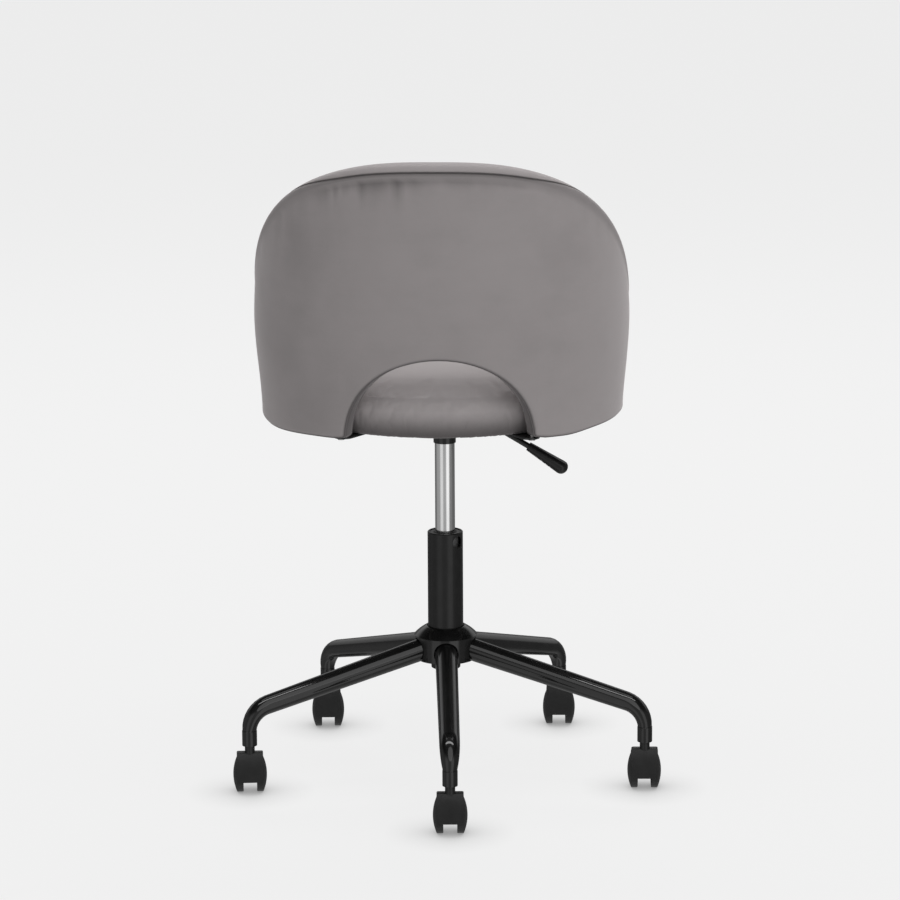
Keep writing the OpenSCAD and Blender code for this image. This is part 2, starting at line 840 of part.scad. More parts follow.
module shell_inner_pad() {
    core_t = outer_pad_t + frame_t;
    color(velvet_grey)
        skin([
            for (a = section_angles)
                let (
                    z0 = foot_z(a),
                    z1 = rim_z(a) - rim_drop,
                    z2 = rim_z(a),
                    r = shell_r(z1)
                )
                    concat(
                        layer_column(a, core_t, z0, z1),
                        [
                            shell_point(a, r, z1),
                            shell_point(a, r - 3, z1 + 0.6 * rim_drop),
                            shell_point(a, r - 12, z2),
                            shell_point(a, r - rim_t + 14, z2),
                            shell_point(a, r - rim_t + 4, z1 + 0.3 * rim_drop)
                        ],
                        inner_column(a, z0, z1 - rim_drop)
                    )
        ]);
}

module shell_brackets() {
    color(steel_black)
        difference() {
            translate([seat_centre[0], seat_centre[1], plate_top_z - strap_t])
                for (a = strap_angles)
                    rotate([0, 0, 90 + a]) {
                        translate([strap_inner_r, -strap_w / 2, 0])
                            cube([strap_outer_r - strap_inner_r - strap_w / 2, strap_w, strap_t]);
                        translate([strap_outer_r - strap_w / 2, 0, 0]) cylinder(d = strap_w, h = strap_t);
                    }
            each_screw()
                translate([0, 0, plate_top_z - strap_t - eps]) cylinder(d = 5.2, h = strap_t + 2 * eps);
        }
}

module bracket_screws() {
    head_z = plate_top_z - strap_t - 2;
    color("silver")
        each_screw() {
            translate([0, 0, head_z]) cylinder(d = 9, h = 2);
            translate([0, 0, head_z + 1]) cylinder(d = 5, h = 12);
        }
}

// ---------- nodes ----------

base_hub();
column_tube();
guide_bushing();
thrust_bearing();
piston_rod();
retaining_clip();
for (i = [1:leg_count]) {
    base_leg(i);
    leg_socket(i);
    caster_stem(i);
    caster_hood(i);
    caster_axle(i);
    caster_wheel(i, 1);
    caster_wheel(i, -1);
}
gas_cylinder();
cylinder_end_guide();
release_pin();
seat_plate();
plate_bolts();
tee_nuts();
lever_pivot();
release_lever();
lever_grip();
dust_cover();
seat_board();
seat_cushion();
shell_frame();
shell_outer_pad();
shell_inner_pad();
shell_brackets();
bracket_screws();
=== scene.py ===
"""Looks of the swivel desk chair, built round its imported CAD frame.

Lengths are in metres, in the CAD's own frame: the origin is on the floor under the gas lift,
+Z is up and the sitter faces -Y. Angles round the shell are counted from the middle of the back.
"""

import json
import math

import bpy
import numpy as np
from mathutils import Matrix, Vector, noise


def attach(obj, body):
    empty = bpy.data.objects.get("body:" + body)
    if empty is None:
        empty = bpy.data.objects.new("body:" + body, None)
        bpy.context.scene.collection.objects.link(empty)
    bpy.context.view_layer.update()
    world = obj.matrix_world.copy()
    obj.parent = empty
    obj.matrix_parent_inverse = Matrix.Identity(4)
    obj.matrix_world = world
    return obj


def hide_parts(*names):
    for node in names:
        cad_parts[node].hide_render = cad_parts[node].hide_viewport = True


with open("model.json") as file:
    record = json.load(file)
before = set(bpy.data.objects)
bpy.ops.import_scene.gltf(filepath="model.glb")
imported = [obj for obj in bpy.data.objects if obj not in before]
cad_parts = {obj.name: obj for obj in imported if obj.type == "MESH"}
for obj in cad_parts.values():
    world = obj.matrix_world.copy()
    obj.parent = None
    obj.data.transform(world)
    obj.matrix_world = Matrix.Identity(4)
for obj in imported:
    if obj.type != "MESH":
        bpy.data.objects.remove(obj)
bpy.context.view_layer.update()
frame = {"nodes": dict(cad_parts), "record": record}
NODES = frame["nodes"]

# Seat and shell, as in the CAD
SEAT_X, SEAT_Y = 0.003, -0.010
SHELL_BOTTOM_Z = 0.535
SHELL_BOTTOM_R = 0.253
SHELL_WIDE_R = 0.261
BACK_TOP_Z = 0.915
ARM_Z = 0.700
ARM_ANGLE = 108.0  # where the arms start to slope down
WRAP_ANGLE = 138.0
ARM_FALL = 0.125
RIM_T = 0.045
SEAT_LEVEL_T = 0.024
CUTOUT_HALF_W = 0.1295
CUTOUT_SIDE = 0.0055  # sideways shift of the opening
CUTOUT_H = 0.116
RIM_WIDTH = 0.014  # rolled rim above the seam
CORE_DEPTH = 0.018  # back of the inner padding
HEM_WAVES = ((-0.300, 0.100, -0.007), (-0.137, 0.012, 0.002), (0.131, 0.014, 0.004), (0.200, 0.035, -0.0022))

# Rim seam
SEAM_TURN = 0.055 * math.pi  # its place on the rolled rim at the middle of the back, counted from outside
SEAM_RISE = 0.30 * math.pi  # how much nearer to the top of the roll it lies at the arms
# upper limit of the per-point painted light value of the velvet
MAX_PAINTED_LIGHT = 1.2

# Studio
WORLD_LEVEL, WORLD_SLOPE = 0.50, 0.40  # brightness of the surroundings, and how it falls towards +X
ROOM = [  # brightness that reflections see, by degrees from behind the camera towards its right
    (-180, 0.14), (-118, 0.15), (-100, 0.34), (-56, 0.38), (-48, 0.80), (-22, 0.80), (-14, 0.42),
    (14, 0.42), (22, 1.05), (48, 1.05), (58, 0.26), (86, 0.22), (104, 0.14), (180, 0.14),
]
FLOOR_HALF = 40
FLOOR_PAINT, FLOOR_GLOW = 0.06, 0.80  # the floor's reflectance and its own light
# painted contact shadow on the floor under the casters
CONTACT_REACH, CONTACT_GLOW = 0.07, 0.30  # reach of the dark under the casters, and the glow left there
BACKDROP = 0.86  # what the camera sees beyond the floor


# ---------- node trees ----------


class Nodes:
    """A node tree with small helpers."""

    def __init__(self, tree):
        self.tree = tree

    def new(self, kind):
        return self.tree.nodes.new("ShaderNode" + kind)

    def link(self, a, b):
        self.tree.links.new(a, b)

    def math(self, operation, a, b):
        node = self.new("Math")
        node.operation = operation
        for socket, value in zip(node.inputs, (a, b)):
            if isinstance(value, (int, float)):
                socket.default_value = value
            else:
                self.link(value, socket)
        return node.outputs["Value"]

    def remap(self, value, low, high, to_low, to_high):
        """A number that goes from to_low to to_high while value goes from low to high, and holds beyond."""
        node = self.new("MapRange")
        for key, number in (("From Min", low), ("From Max", high), ("To Min", to_low), ("To Max", to_high)):
            node.inputs[key].default_value = number
        self.link(value, node.inputs["Value"])
        return node.outputs["Result"]

    def ramp(self, value, stops):
        """A colour ramp; stops are (position, rgb)."""
        node = self.new("ValToRGB")
        elements = node.color_ramp.elements
        while len(elements) < len(stops):
            elements.new(0.5)
        for element, (position, rgb) in zip(elements, stops):
            element.position = position
            element.color = (*rgb, 1)
        self.link(value, node.inputs["Fac"])
        return node.outputs["Color"]

    def mix(self, factor, first, second):
        """The first shader where factor is 0 and the second where it is 1."""
        node = self.new("MixShader")
        for socket, value in zip(node.inputs, (factor, first, second)):
            self.link(value, socket)
        return node.outputs["Shader"]

    def background(self, color):
        node = self.new("Background")
        self.link(color, node.inputs["Color"])
        return node.outputs["Background"]


# ---------- camera, light and floor ----------


def make_camera():
    """The camera that the CAD was fitted with: aimed a little down, turned and rolled slightly."""
    distance, pitch, roll, turn = 5.7155, math.radians(12.43), math.radians(-0.306), math.radians(2.4)
    side_shift, aim_z = -0.00745, 0.47404
    forward = Vector((0, -math.cos(pitch), -math.sin(pitch)))
    level_right = forward.cross(Vector((0, 0, 1))).normalized()
    level_up = level_right.cross(forward)
    right = math.cos(roll) * level_right + math.sin(roll) * level_up
    up = math.cos(roll) * level_up - math.sin(roll) * level_right
    place = Vector((side_shift, distance * math.cos(pitch), aim_z + distance * math.sin(pitch)))
    turned = Matrix.Rotation(turn, 3, "Z")
    right, up, back, place = turned @ right, turned @ up, turned @ -forward, turned @ place
    data = bpy.data.cameras.new("camera")
    data.sensor_width, data.lens = 36, 162.57
    data.clip_end = 100
    camera = bpy.data.objects.new("camera", data)
    bpy.context.scene.collection.objects.link(camera)
    camera.matrix_world = Matrix(
        (
            (right.x, up.x, back.x, place.x),
            (right.y, up.y, back.y, place.y),
            (right.z, up.z, back.z, place.z),
            (0, 0, 0, 1),
        )
    )
    bpy.context.scene.camera = camera


def add_light(name, kind, place, aim, energy, **settings):
    data = bpy.data.lights.new(name, kind)
    data.energy = energy
    for key, value in settings.items():
        setattr(data, key, value)
    light = bpy.data.objects.new(name, data)
    bpy.context.scene.collection.objects.link(light)
    light.location = place
    light.rotation_mode = "QUATERNION"
    light.rotation_quaternion = (Vector(aim) - Vector(place)).to_track_quat("-Z", "Y")
    return light


def make_world():
    """Pale surroundings, dimmer on the camera's left. Reflections see a darker room with two soft panels, a
    bright wall in front of the chair and a pale ground. The camera sees an even backdrop."""
    world = bpy.data.worlds.new("studio")
    bpy.context.scene.world = world
    world.use_nodes = True
    world.node_tree.nodes.clear()
    nodes = Nodes(world.node_tree)
    split = nodes.new("SeparateXYZ")
    nodes.link(nodes.new("TexCoord").outputs["Generated"], split.inputs["Vector"])
    x, y, height = (split.outputs[axis] for axis in "XYZ")
    even = nodes.math("ADD", nodes.math("MULTIPLY", x, -WORLD_SLOPE), WORLD_LEVEL)

    around = nodes.math("ARCTAN2", nodes.math("MULTIPLY", x, -1.0), y)
    turn = nodes.math("ADD", nodes.math("MULTIPLY", around, 0.5 / math.pi), 0.5)
    panels = nodes.ramp(turn, [(0.5 + degrees / 360, (level, level, level)) for degrees, level in ROOM])
    panels = nodes.math("MULTIPLY", panels, nodes.remap(height, 0.25, 0.50, 1.0, 0.08))
    foot, head = nodes.remap(height, 0.12, 0.24, 0.0, 1.0), nodes.remap(height, 0.42, 0.54, 1.0, 0.08)
    wall = nodes.math("MULTIPLY", nodes.remap(y, -0.25, -0.55, 0.0, 0.55), nodes.math("MULTIPLY", foot, head))
    ground = nodes.remap(height, -0.40, -0.85, 0.0, 0.42)
    room = nodes.math("MAXIMUM", nodes.math("MAXIMUM", panels, wall), ground)

    backdrop = nodes.new("Value").outputs[0]
    backdrop.default_value = BACKDROP
    rays = nodes.new("LightPath").outputs
    surface = nodes.mix(rays["Is Glossy Ray"], nodes.background(even), nodes.background(room))
    surface = nodes.mix(rays["Is Camera Ray"], surface, nodes.background(backdrop))
    nodes.link(surface, nodes.new("OutputWorld").inputs["Surface"])


def make_floor():
    """A glowing pale floor, with painted contact shadows close under the casters. Reflections and views from
    below don't see it.
    """
    corners = [(x * FLOOR_HALF, y * FLOOR_HALF, 0) for x, y in ((-1, -1), (1, -1), (1, 1), (-1, 1))]
    mesh = bpy.data.meshes.new("floor")
    mesh.from_pydata(corners, [], [(0, 1, 2, 3)])
    floor = bpy.data.objects.new("floor", mesh)
    bpy.context.scene.collection.objects.link(floor)
    floor.visible_glossy = False
    paint = Finish("floor_paint", grey(FLOOR_PAINT), 1.0, Specular_IOR_Level=0.0, Emission_Color=(1, 1, 1, 1))
    # painted contact shadow: the glow is dimmed where other surfaces are near
    near = paint.new("AmbientOcclusion")
    near.inputs["Distance"].default_value = CONTACT_REACH
    glow = paint.remap(near.outputs["AO"], 0, 1, CONTACT_GLOW * FLOOR_GLOW, FLOOR_GLOW)
    paint.link(glow, paint.shader.inputs["Emission Strength"])
    below = paint.new("NewGeometry").outputs["Backfacing"]
    surface = paint.mix(below, paint.shader.outputs["BSDF"], paint.new("BsdfTransparent").outputs["BSDF"])
    paint.link(surface, paint.tree.nodes["Material Output"].inputs["Surface"])
    mesh.materials.append(paint.material)


def make_studio():
    """Surroundings, floor, a soft key from behind the chair, two long lights overhead and a fill."""
    bpy.context.scene.view_settings.view_transform = "Standard"
    make_world()
    make_floor()
    add_light("key", "SUN", (-0.6, 3.0, 2.5), (0, 0, 0), 0.8, angle=math.radians(50))
    seat, low = (0, 0, 0.62), (0, 0, 0.3)
    add_light("top", "AREA", (0, -0.9, 6), low, 35, shape="RECTANGLE", size=6, size_y=1.6)
    add_light("strip", "AREA", (0, 1.2, 5.5), low, 110, shape="RECTANGLE", size=7, size_y=0.75)
    front = add_light("front", "AREA", (0, -3.2, 3.4), seat, 100, shape="RECTANGLE", size=3, size_y=1.5)
    front.visible_glossy = False  # it only lifts the seat seen through the opening


# ---------- materials ----------


class Finish(Nodes):
    """A Principled material with small helpers for its procedural nodes."""

    def __init__(self, name, color, roughness, **sockets):
        self.material = bpy.data.materials.new(name)
        self.material.use_nodes = True
        super().__init__(self.material.node_tree)
        self.shader = self.tree.nodes["Principled BSDF"]
        self.shader.inputs["Base Color"].default_value = (*color, 1)
        self.shader.inputs["Roughness"].default_value = roughness
        self.material.diffuse_color = (*color, 1)
        for key, value in sockets.items():
            self.shader.inputs[key.replace("_", " ")].default_value = value
        self.place = self.new("TexCoord").outputs["Object"]

    def stretched(self, scale):
        """Object coordinates with each axis multiplied."""
        mapping = self.new("Mapping")
        mapping.inputs["Scale"].default_value = scale
        self.link(self.place, mapping.inputs["Vector"])
        return mapping.outputs["Vector"]

    def noise(self, scale, detail=2.0, roughness=0.5, vector=None):
        node = self.new("TexNoise")
        node.inputs["Scale"].default_value = scale
        node.inputs["Detail"].default_value = detail
        node.inputs["Roughness"].default_value = roughness
        self.link(vector or self.place, node.inputs["Vector"])
        return node.outputs["Fac"]

    def attribute(self, name):
        node = self.new("Attribute")
        node.attribute_name = name
        return node.outputs["Fac"]

    def color(self, value):
        self.link(value, self.shader.inputs["Base Color"])

    def roughness(self, value):
        self.link(value, self.shader.inputs["Roughness"])

    def bump(self, height, distance, strength=1.0):
        node = self.new("Bump")
        node.inputs["Distance"].default_value = distance
        node.inputs["Strength"].default_value = strength
        self.link(height, node.inputs["Height"])
        self.link(node.outputs["Normal"], self.shader.inputs["Normal"])


def grey(value, warm=0.0):
    return (value * (1 + warm), value, value * (1 - warm))


def make_velvet(name, light):
    """Short-pile velvet: brushed patches, a soft sheen, and painted shade where the per-point painted light
    value is low.
    """
    sheen = {"Sheen_Weight": 0.3, "Sheen_Roughness": 0.4, "Sheen_Tint": (1.0, 0.95, 0.96, 1)}
    finish = Finish(name, light, 0.9, Specular_IOR_Level=0.1, **sheen)
    patches = finish.noise(11, 2.5, 0.55)
    strokes = finish.noise(1.0, 3.0, 0.6, finish.stretched((26, 26, 55)))
    pile = finish.noise(1500, 2.0, 0.7)
    # painted shade: the per-point painted light value darkens the velvet where it is low
    tone = finish.remap(finish.attribute("painted_light"), 0, 1, -0.12, 0.42)
    for texture, share in ((patches, 0.10), (strokes, 0.06), (pile, 0.12)):
        tone = finish.math("ADD", tone, finish.math("MULTIPLY", texture, share))
    dark, bright = (0.05, 0.046, 0.046), tuple(c * 1.3 for c in light)
    finish.color(finish.ramp(tone, [(0.0, dark), (0.56, light), (1.0, bright)]))
    finish.bump(finish.noise(900, 3.0, 0.65), 0.00035, 0.5)
    return finish.material


def make_black_steel():
    """Gloss enamel over the leg tubes and the hub."""
    coat = {"Specular_IOR_Level": 0.08, "Coat_Weight": 0.9, "Coat_Roughness": 0.06}
    steel = Finish("black_steel", grey(0.004), 0.32, **coat)
    steel.roughness(steel.remap(steel.noise(35, 3), 0.3, 0.7, 0.28, 0.38))
    steel.color(steel.ramp(steel.noise(60, 2), [(0.35, grey(0.0035)), (0.75, grey(0.006))]))
    steel.bump(steel.noise(160, 2), 0.00004, 0.15)
    return steel.material


def make_column_black():
    """Satin powder coat with a fine grain."""
    coat = {"Specular_IOR_Level": 0.25, "Coat_Weight": 0.2, "Coat_Roughness": 0.16}
    column = Finish("column_black", grey(0.006), 0.36, **coat)
    column.roughness(column.remap(column.noise(60, 3), 0.3, 0.7, 0.32, 0.42))
    column.color(column.ramp(column.noise(90, 2), [(0.35, grey(0.006)), (0.75, grey(0.009))]))
    column.bump(column.noise(500, 2), 0.00005, 0.25)
    return column.material


def make_chrome():
    """Ground and plated cylinder: fine rings round it, strongest near its top."""
    chrome = Finish("chrome", grey(0.78), 0.12, Metallic=1.0)
    rings = chrome.noise(1.0, 2.0, 0.6, chrome.stretched((3, 3, 900)))
    streaks = chrome.noise(1.0, 2, 0.5, chrome.stretched((60, 60, 8)))
    chrome.roughness(chrome.remap(rings, 0.3, 0.7, 0.10, 0.20))
    chrome.color(chrome.ramp(streaks, [(0.3, grey(0.72)), (0.7, grey(0.84))]))
    height = chrome.new("SeparateXYZ")
    chrome.link(chrome.place, height.inputs["Vector"])
    worn = chrome.remap(height.outputs["Z"], 0.462, 0.474, 0.1, 1.0)
    chrome.bump(chrome.math("MULTIPLY", rings, worn), 0.0002, 0.6)
    return chrome.material


def make_zinc():
    zinc = Finish("zinc_steel", grey(0.5, 0.02), 0.36, Metallic=1.0)
    zinc.color(zinc.ramp(zinc.noise(160, 4, 0.65), [(0.3, grey(0.36, 0.03)), (0.7, grey(0.55))]))
    zinc.roughness(zinc.remap(zinc.noise(90, 3), 0.3, 0.7, 0.28, 0.46))
    return zinc.material


def make_black_plastic():
    plastic = Finish("black_plastic", grey(0.007), 0.34, Specular_IOR_Level=0.35)
    plastic.color(plastic.ramp(plastic.noise(80, 3), [(0.3, grey(0.006)), (0.8, grey(0.010))]))
    plastic.roughness(plastic.remap(plastic.noise(45, 3), 0.3, 0.7, 0.29, 0.39))
    plastic.bump(plastic.noise(1400, 2, 0.6), 0.00005, 0.4)
    return plastic.material


def make_grey_plastic():
    bushing = Finish("grey_plastic", grey(0.07), 0.4)
    bushing.color(bushing.ramp(bushing.noise(240, 3), [(0.3, grey(0.05)), (0.7, grey(0.09))]))
    bushing.bump(bushing.noise(900, 2), 0.00006, 0.4)
    return bushing.material


def make_plywood():
    """Plies stacked along Z, with the grain along Y."""
    ply = Finish("plywood", (0.44, 0.3, 0.17), 0.6)
    plies = ply.noise(1.0, 1.0, 0.4, ply.stretched((2, 2, 700)))
    grain = ply.noise(1.0, 4.0, 0.6, ply.stretched((18, 260, 60)))
    tone = ply.math("ADD", ply.math("MULTIPLY", plies, 0.6), ply.math("MULTIPLY", grain, 0.4))
    ply.color(ply.ramp(tone, [(0.3, (0.28, 0.17, 0.08)), (0.7, (0.56, 0.4, 0.24))]))
    ply.bump(grain, 0.0002, 0.5)
    return ply.material


def make_black_cloth():
    cloth = Finish("black_cloth", grey(0.012), 0.95, Sheen_Weight=0.2)
    cloth.color(cloth.ramp(cloth.noise(1300, 3, 0.7), [(0.3, grey(0.006)), (0.75, grey(0.028))]))
    cloth.bump(cloth.noise(700, 2), 0.0002, 0.6)
    return cloth.material


def make_materials():
    return {
        "velvet": make_velvet("velvet", (0.255, 0.237, 0.237)),
        # a lighter copy of the velvet: painted light on the seat cushion
        "seat_velvet_painted_light": make_velvet("seat_velvet_painted_light", (0.33, 0.307, 0.307)),
        # dark velvet for the cords: painted shade of the seam groove and the edge gaps
        "piping_painted_shade": make_velvet("velvet_piping", (0.11, 0.102, 0.102)),
        "black_steel": make_black_steel(),
        "column_black": make_column_black(),
        "chrome": make_chrome(),
        "zinc_steel": make_zinc(),
        "black_plastic": make_black_plastic(),
        "grey_plastic": make_grey_plastic(),
        "plywood": make_plywood(),
        "black_cloth": make_black_cloth(),
    }


# ---------- CAD nodes ----------


def finish_cad_nodes(materials):
    """Gives each CAD node the finish of its slot, and softens its machined edges."""
    slots = {s["node"]: s["material_slot"] for s in frame["record"]["subparts"]}
    for name, node in NODES.items():
        node.data.materials.clear()
        node.data.materials.append(materials[slots[name]])
        node.data.polygons.foreach_set("use_smooth", [True] * len(node.data.polygons))
        if node.data.has_custom_normals:
            with bpy.context.temp_override(object=node, active_object=node):
                bpy.ops.mesh.customdata_custom_splitnormals_clear()
        weld = node.modifiers.new("weld", "WELD")
        weld.merge_threshold = 2e-6
        bevel = node.modifiers.new("edges", "BEVEL")
        bevel.limit_method = "ANGLE"
        bevel.angle_limit = math.radians(35)
        bevel.width = 0.0004
        bevel.segments = 2
        normals = node.modifiers.new("normals", "WEIGHTED_NORMAL")
        normals.keep_sharp = True


# ---------- mesh helpers ----------


def object_from(name, points, faces, material, painted_light=None):
    """A smooth-shaded mesh object; the optional value per point is the velvet's painted light, low where
    shade is painted.
    """
    mesh = bpy.data.meshes.new(name)
    mesh.from_pydata([tuple(p) for p in points], [], faces)
    mesh.polygons.foreach_set("use_smooth", [True] * len(mesh.polygons))
    mesh.materials.append(material)
    painted_light = np.ones(len(points)) if painted_light is None else painted_light
    mesh.attributes.new("painted_light", "FLOAT", "POINT").data.foreach_set("value", np.asarray(painted_light, np.float32))
    obj = bpy.data.objects.new(name, mesh)
    bpy.context.scene.collection.objects.link(obj)
    return obj


def skin_faces(sections, ring):
    """Quads joining closed rings of equal length, with an end cap at each end."""
    faces = []
    for i in range(sections - 1):
        for j in range(ring):
            k = (j + 1) % ring
            faces.append((i * ring + j, i * ring + k, (i + 1) * ring + k, (i + 1) * ring + j))
    faces.append(tuple(range(ring - 1, -1, -1)))
    faces.append(tuple((sections - 1) * ring + j for j in range(ring)))
    return faces


def tube_along(name, path, radius, material, sides=8):
    """A round cord along a line of points."""
    path = [Vector(p) for p in path]
    points = []
    side = None
    for i, p in enumerate(path):
        along = (path[min(i + 1, len(path) - 1)] - path[max(i - 1, 0)]).normalized()
        if side is None:
            side = along.cross(Vector((0.3, 0.2, 1))).normalized()
        side = (side - side.dot(along) * along).normalized()
        other = along.cross(side)
        for k in range(sides):
            a = 2 * math.pi * k / sides
            points.append(p + radius * (math.cos(a) * side + math.sin(a) * other))
    return object_from(name, points, skin_faces(len(path), sides), material)


def noise_at(x, y, z):
    """Smooth noise of about -1 to 1."""
    return noise.noise(Vector((x, y, z)))


# ---------- shell ----------


def smooth_step(t):
    t = np.clip(t, 0, 1)
    return t * t * (3 - 2 * t)


def shell_radius(z):
    rise = smooth_step((z - SHELL_BOTTOM_Z) / 0.150)
    return SHELL_BOTTOM_R + (SHELL_WIDE_R - SHELL_BOTTOM_R) * rise


def wall(z):
    """Thickness of the shell: thin beside the seat, full above it."""
    return SEAT_LEVEL_T + (RIM_T - SEAT_LEVEL_T) * smooth_step((z - SHELL_BOTTOM_Z - 0.065) / 0.080)


def rim_height(angle):
    """Height of the rim at an angle in degrees, before the arms slope down."""
    g = 1 - (abs(angle) / 92) ** 2.5
    back = (BACK_TOP_Z - ARM_Z) * (g + math.sqrt(g * g + 0.02)) / 2.01
    return ARM_Z + back - 0.012 * min(1, max(0, (abs(angle) - 80) / 50))


def arc(angle):
    """Arc length at the shell's lower radius, for an angle in degrees."""
    return SHELL_BOTTOM_R * math.radians(angle)


def half_columns():
    """Pairs of (top, bottom) points of the shell's outline from the middle of the back to one arm's front.
    Each point is (arc length at the shell's lower radius, height)."""
    opening_steps, foot_steps, side_steps, slope_steps, corner_steps = 16, 5, 34, 20, 8
    foot_r, foot_spread = 0.005, 0.45  # rounding of the opening's foot, and degrees of rim to each step of it
    corner_r = 0.022
    last_bottom = 129.0  # degrees to which the hem runs
    pairs = []
    for k in range(opening_steps + 1):  # over the opening
        t = math.radians(85 * k / opening_steps)
        angle = math.degrees(math.asin(CUTOUT_HALF_W * math.sin(t) / SHELL_BOTTOM_R))
        edge_z = SHELL_BOTTOM_Z + CUTOUT_H * math.cos(t)
        pairs.append(((arc(angle), rim_height(angle)), (arc(angle), edge_z)))
    foot_angle = math.degrees(math.asin(CUTOUT_HALF_W / SHELL_BOTTOM_R))
    for k in range(1, foot_steps + 1):  # rounded foot of the opening
        t = math.radians(90 * k / foot_steps)
        angle = foot_angle + foot_spread * k
        foot = (arc(foot_angle) + foot_r * (1 - math.cos(t)), SHELL_BOTTOM_Z + foot_r * (1 - math.sin(t)))
        pairs.append(((arc(angle), rim_height(angle)), foot))
    first = foot_angle + foot_spread * foot_steps
    for k in range(1, side_steps + 1):  # sides
        angle = first + (ARM_ANGLE - first) * k / side_steps
        pairs.append(((arc(angle), rim_height(angle)), (arc(angle), SHELL_BOTTOM_Z)))

    def hem(step):
        """Point of the hem under a step of the arm's front, counted over its slope and its corner."""
        share = step / (slope_steps + corner_steps)
        return (arc(ARM_ANGLE + (last_bottom - ARM_ANGLE) * share), SHELL_BOTTOM_Z)

    for k in range(1, slope_steps + 1):  # sloping front of the arm
        t = math.radians(90 * k / slope_steps)
        angle = ARM_ANGLE + (WRAP_ANGLE - ARM_ANGLE) * math.sin(t)
        pairs.append(((arc(angle), rim_height(angle) - ARM_FALL * (1 - math.cos(t))), hem(k)))
    corner_s, corner_z = pairs[-1][0]
    for k in range(1, corner_steps + 1):  # lower front corner
        t = math.radians(90 * k / corner_steps)
        corner_height = corner_z - (corner_z - SHELL_BOTTOM_Z) * math.sin(t)
        pairs.append(((corner_s - corner_r * (1 - math.cos(t)), corner_height), hem(slope_steps + k)))
    return pairs


class Shell:
    """The shell's outline as columns, each with a top point, a bottom point and their inward normals."""

    def __init__(self):
        half = half_columns()
        whole = [((-t[0], t[1]), (-b[0], b[1])) for t, b in reversed(half[1:])] + half
        self.top = np.array([p[0] for p in whole])
        self.bottom = np.array([p[1] for p in whole])
        s = self.bottom[:, 0]
        hem = self.bottom[:, 1] < SHELL_BOTTOM_Z + 0.02
        rise = sum(height * np.exp(-(((s - at) / over) ** 2)) for at, over, height in HEM_WAVES)
        self.bottom[:, 1] += np.where(hem, rise, 0)
        self.bottom[:, 0] += CUTOUT_SIDE * np.clip((s[-1] - np.abs(s)) / (s[-1] - CUTOUT_HALF_W), 0, 1)
        self.top_in = self.normals(self.top, -1)
        self.bottom_in = self.normals(self.bottom, 1)
        length = np.linalg.norm(self.top - self.bottom, axis=1)
        self.scale = np.clip(length / 0.055, 0.12, 1)[:, None]  # insets shrink where the shell is low
        self.count = len(whole)
        self.rim_t = wall(self.top[:, 1])
        angle = np.degrees(np.abs(self.top[:, 0]) / SHELL_BOTTOM_R)
        self.seam_turn = SEAM_TURN + SEAM_RISE * smooth_step((angle - 28) / 34)

    def roll(self, turn):
        """Offset from the top and depth of the rolled rim; turn runs from 0 outside to pi inside."""
        turn = np.clip(turn, 1e-4, math.pi - 1e-4)
        across = np.sign(np.cos(turn)) * np.abs(np.cos(turn)) ** 0.78
        skin = 0.0008 * self.scale[:, 0]
        return RIM_WIDTH * (1 - np.sin(turn) ** 0.72), skin + (self.rim_t - skin) * (1 - across) / 2

    def on_roll(self, turn, back=0.0, sink=0.0):
        """Points on the roll, moved back along it (towards the outside) and sunk below its surface."""
        offset, depth = self.roll(turn)
        scale = self.scale[:, 0]
        offset_b, depth_b = self.roll(turn - 0.02)
        along = np.stack([(offset_b - offset) * scale, depth_b - depth])
        along /= np.linalg.norm(along, axis=0) + 1e-12
        offset = offset + back * along[0] - sink * along[1]
        depth = depth + (back * along[1] + sink * along[0]) * scale
        return Shell.place(self.from_top(offset[:, None]), depth)

    @staticmethod
    def normals(line, side):
        tangent = np.gradient(line, axis=0)
        tangent /= np.linalg.norm(tangent, axis=1)[:, None] + 1e-12
        return side * np.stack([-tangent[:, 1], tangent[:, 0]], axis=1)

    def from_top(self, offset):
        """Points in from the top edge; offset is one number or a column of them."""
        return self.top + self.top_in * self.scale * offset

    def from_bottom(self, offset):
        """Points in from the lower edge, in the same way."""
        return self.bottom + self.bottom_in * self.scale * offset

    @staticmethod
    def place(flat, depth):
        """Points in space of flat (arc, height) points at a depth inside the outer face."""
        angle = flat[:, 0] / SHELL_BOTTOM_R
        r = shell_radius(flat[:, 1]) - depth
        return np.stack([SEAT_X - r * np.sin(angle), SEAT_Y + r * np.cos(angle), flat[:, 1]], axis=1)


class Skin:
    """A closed skin built ring by ring; each ring has one point for every column of the shell."""

    def __init__(self, shell):
        self.count = shell.count
        self.rings, self.painted_lights = [], []

    def add(self, points, painted_light):
        self.rings.append(points)
        self.painted_lights.append(np.broadcast_to(painted_light, (self.count,)))

    def build(self, name, material):
        points = np.stack(self.rings, axis=1).reshape(-1, 3)
        painted_light = np.clip(np.stack(self.painted_lights, axis=1).reshape(-1), 0, MAX_PAINTED_LIGHT)
        return object_from(name, points, skin_faces(self.count, len(self.rings)), material, painted_light)


def seam_relief(s, z, seam_distance):
    """Outward dents and gathers of the velvet below the rim seam, at arc length s and height z."""
    gathers = 0.0011 * noise_at(s * 62, z * 9, 3.1) + 0.0005 * noise_at(s * 150, z * 22, 8.7)
    left = 0.5 + 0.5 * math.tanh(-(s + 0.02) / 0.08)
    broad = 0.0009 * noise_at(s * 9, z * 9, 1.7) + 0.0004 * noise_at(s * 24, z * 20, 5.2)
    return gathers * math.exp(-seam_distance / 0.034) * (0.55 + 0.9 * left) + broad


